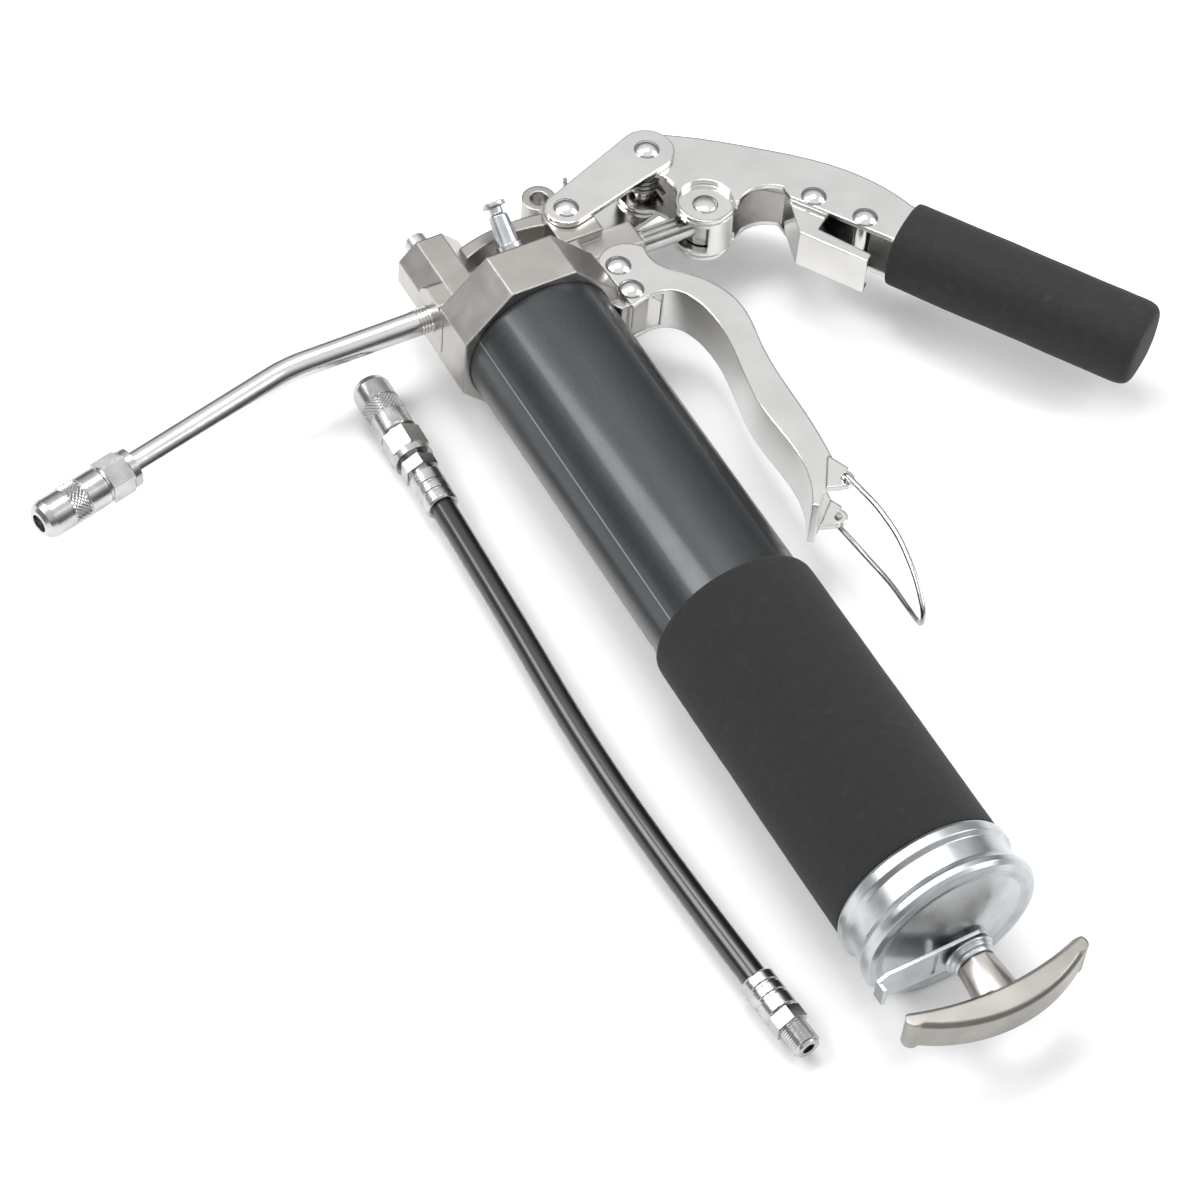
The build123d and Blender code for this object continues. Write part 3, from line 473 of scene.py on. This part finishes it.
# %% Spin an outline into a sleeve and soften it
def foam_sleeve(name, outline, flat, square, frame_of_axis, depth_mm):
    """Spins (radius, height) points in millimetres; flat squashes it and square fills its corners."""
    shape = bmesh.new()
    points = [shape.verts.new((radius * MM, 0, height * MM)) for radius, height in outline]
    edges = [shape.edges.new(pair) for pair in zip(points, points[1:])]
    bmesh.ops.spin(
        shape, geom=points + edges, cent=(0, 0, 0), axis=(0, 0, 1), angle=2 * pi, steps=72, use_merge=True,
    )
    bmesh.ops.remove_doubles(shape, verts=shape.verts, dist=0.01 * MM)
    bmesh.ops.scale(shape, vec=(1, flat, 1), verts=shape.verts)
    for vertex in shape.verts:
        spread = 2 * vertex.co.x * vertex.co.y / max(vertex.co.xy.length_squared, 1e-9)
        vertex.co.xy *= 1 + square * spread * spread
    bmesh.ops.transform(shape, matrix=frame_of_axis, verts=shape.verts)
    bmesh.ops.recalc_face_normals(shape, faces=shape.faces)
    for vertex in shape.verts:
        wave = noise.noise(vertex.co * 45.0) + 0.4 * noise.noise(vertex.co * 160.0)
        vertex.co += vertex.normal * (wave - 0.7) * depth_mm * MM
    mesh = bpy.data.meshes.new(name)
    shape.to_mesh(mesh)
    shape.free()
    mesh.shade_smooth()
    sleeve = bpy.data.objects.new(name, mesh)
    bpy.context.scene.collection.objects.link(sleeve)
    soft = sleeve.modifiers.new("soft", "SUBSURF")
    soft.levels = soft.render_levels = 1
    print(name, "has", len(mesh.polygons), "faces before subdivision")
    return sleeve


def fit_sleeve(sleeve, node, body, material):
    """The sleeve stands for a CAD grip and moves with its body."""
    sleeve.data.materials.append(material)
    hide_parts(node)
    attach(sleeve, body)


# %% The barrel's sleeve
BARREL_SLEEVE = 120.4
along = [n * BARREL_SLEEVE / 40 for n in range(1, 40)]
outline = [(28.56, BARREL_SLEEVE / 2), (28.56, 0.2), (28.9, 0.0), (30.6, 0.0), (31.05, 0.4)]
outline += [(31.1, height) for height in along]
outline += [(31.05, BARREL_SLEEVE - 0.4), (30.6, BARREL_SLEEVE)]
outline += [(28.9, BARREL_SLEEVE), (28.56, BARREL_SLEEVE - 0.2)]
outline += [(28.56, BARREL_SLEEVE / 2)]
barrel_turn = Vector((0, -1, 0)).to_track_quat("Z", "X").to_matrix()
down_barrel = Matrix.Translation(gun(0, -140.0)) @ barrel_turn.to_4x4()
barrel_sleeve = foam_sleeve("barrel_foam_sleeve", outline, 1.0, 0.0, down_barrel, 0.16)
fit_sleeve(barrel_sleeve, "barrel_grip", "barrel", barrel_foam)

# %% The lever's grip
GRIP_HEADING = radians(-57.2)
outline = [(0.0, 3.0), (9.0, 3.0), (9.2, 0.5), (10.0, 0.1), (14.2, 0.1), (15.1, 0.4), (15.5, 1.2)]
outline += [(15.6, 2.5 * n) for n in range(1, 38)]
outline += [(15.4, 95.0), (14.8, 96.9), (13.7, 98.2), (12.0, 98.8), (8.0, 99.0), (4.0, 99.0), (0.0, 99.0)]
grip_axis = Vector((cos(GRIP_HEADING), sin(GRIP_HEADING), 0))
grip_side = Vector((-sin(GRIP_HEADING), cos(GRIP_HEADING), 0))
grip_turn = Matrix((grip_side, grip_axis.cross(grip_side), grip_axis)).transposed()
down_grip = Matrix.Translation(gun(143.7, -14.4)) @ grip_turn.to_4x4()
lever_sleeve = foam_sleeve("lever_foam_sleeve", outline, 14.6 / 15.6, 0.085, down_grip, 0.2)
fit_sleeve(lever_sleeve, "lever_grip", "lever", lever_foam)

# %% [markdown]
# ## The spare hose
#
# A hose is a fixed length of something bendy that lies in a lazy curve. A NURBS curve
# through the same route as the CAD tube gives a smooth line, and its bevel gives the
# thickness.

# %% The hose as a curve
hose_line = bpy.data.curves.new("hose_cover", "CURVE")
hose_line.dimensions = "3D"
hose_line.bevel_depth = 4.5 * MM
hose_line.bevel_resolution = 8
hose_line.resolution_u = 24
hose_line.use_fill_caps = True
run = hose_line.splines.new("NURBS")
run.points.add(len(HOSE_ROUTE) - 1)
for point, place_on_route in zip(run.points, HOSE_ROUTE):
    point.co = (*place_on_route, 1.0)
run.order_u = 3
run.use_endpoint_u = True
hose = bpy.data.objects.new("hose_cover", hose_line)
bpy.context.scene.collection.objects.link(hose)
hose_line.materials.append(hose_cover)
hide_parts("hose_tube")
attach(hose, "hose")
on_hose = [name for name in nodes if name.startswith("hose_") and name != "hose_tube"]
on_hose.append(hose_knurl.name)
print("pieces on the hose:", on_hose)

# %% [markdown]
# ## Each metal part gets its finish
#
# The model's own record says which finish each part has. A table turns that into the
# materials above.

# %% Give the CAD parts their materials
FINISHES = {
    "cast_nickel": satin_nickel,
    "barrel_enamel": gunmetal,
    "zinc_plate": bright_zinc,
    "chrome_plate": bright_plate,
    "steel": ground_steel,
    "spring_steel": spring_wire,
    "coupler_steel": plain_coupler,
    "foam_barrel": barrel_foam,
    "foam_lever": lever_foam,
    "hose_rubber": hose_cover,
    "seal_rubber": seal_rubber,
}
for part in frame["record"]["subparts"]:
    mesh = nodes[part["node"]].data
    mesh.materials.clear()
    mesh.materials.append(FINISHES[part["material_slot"]])
# The T-handle takes the darker nickel copy, whose colour holds painted shade.
nodes["t_handle"].data.materials[0] = shade_darkened_nickel
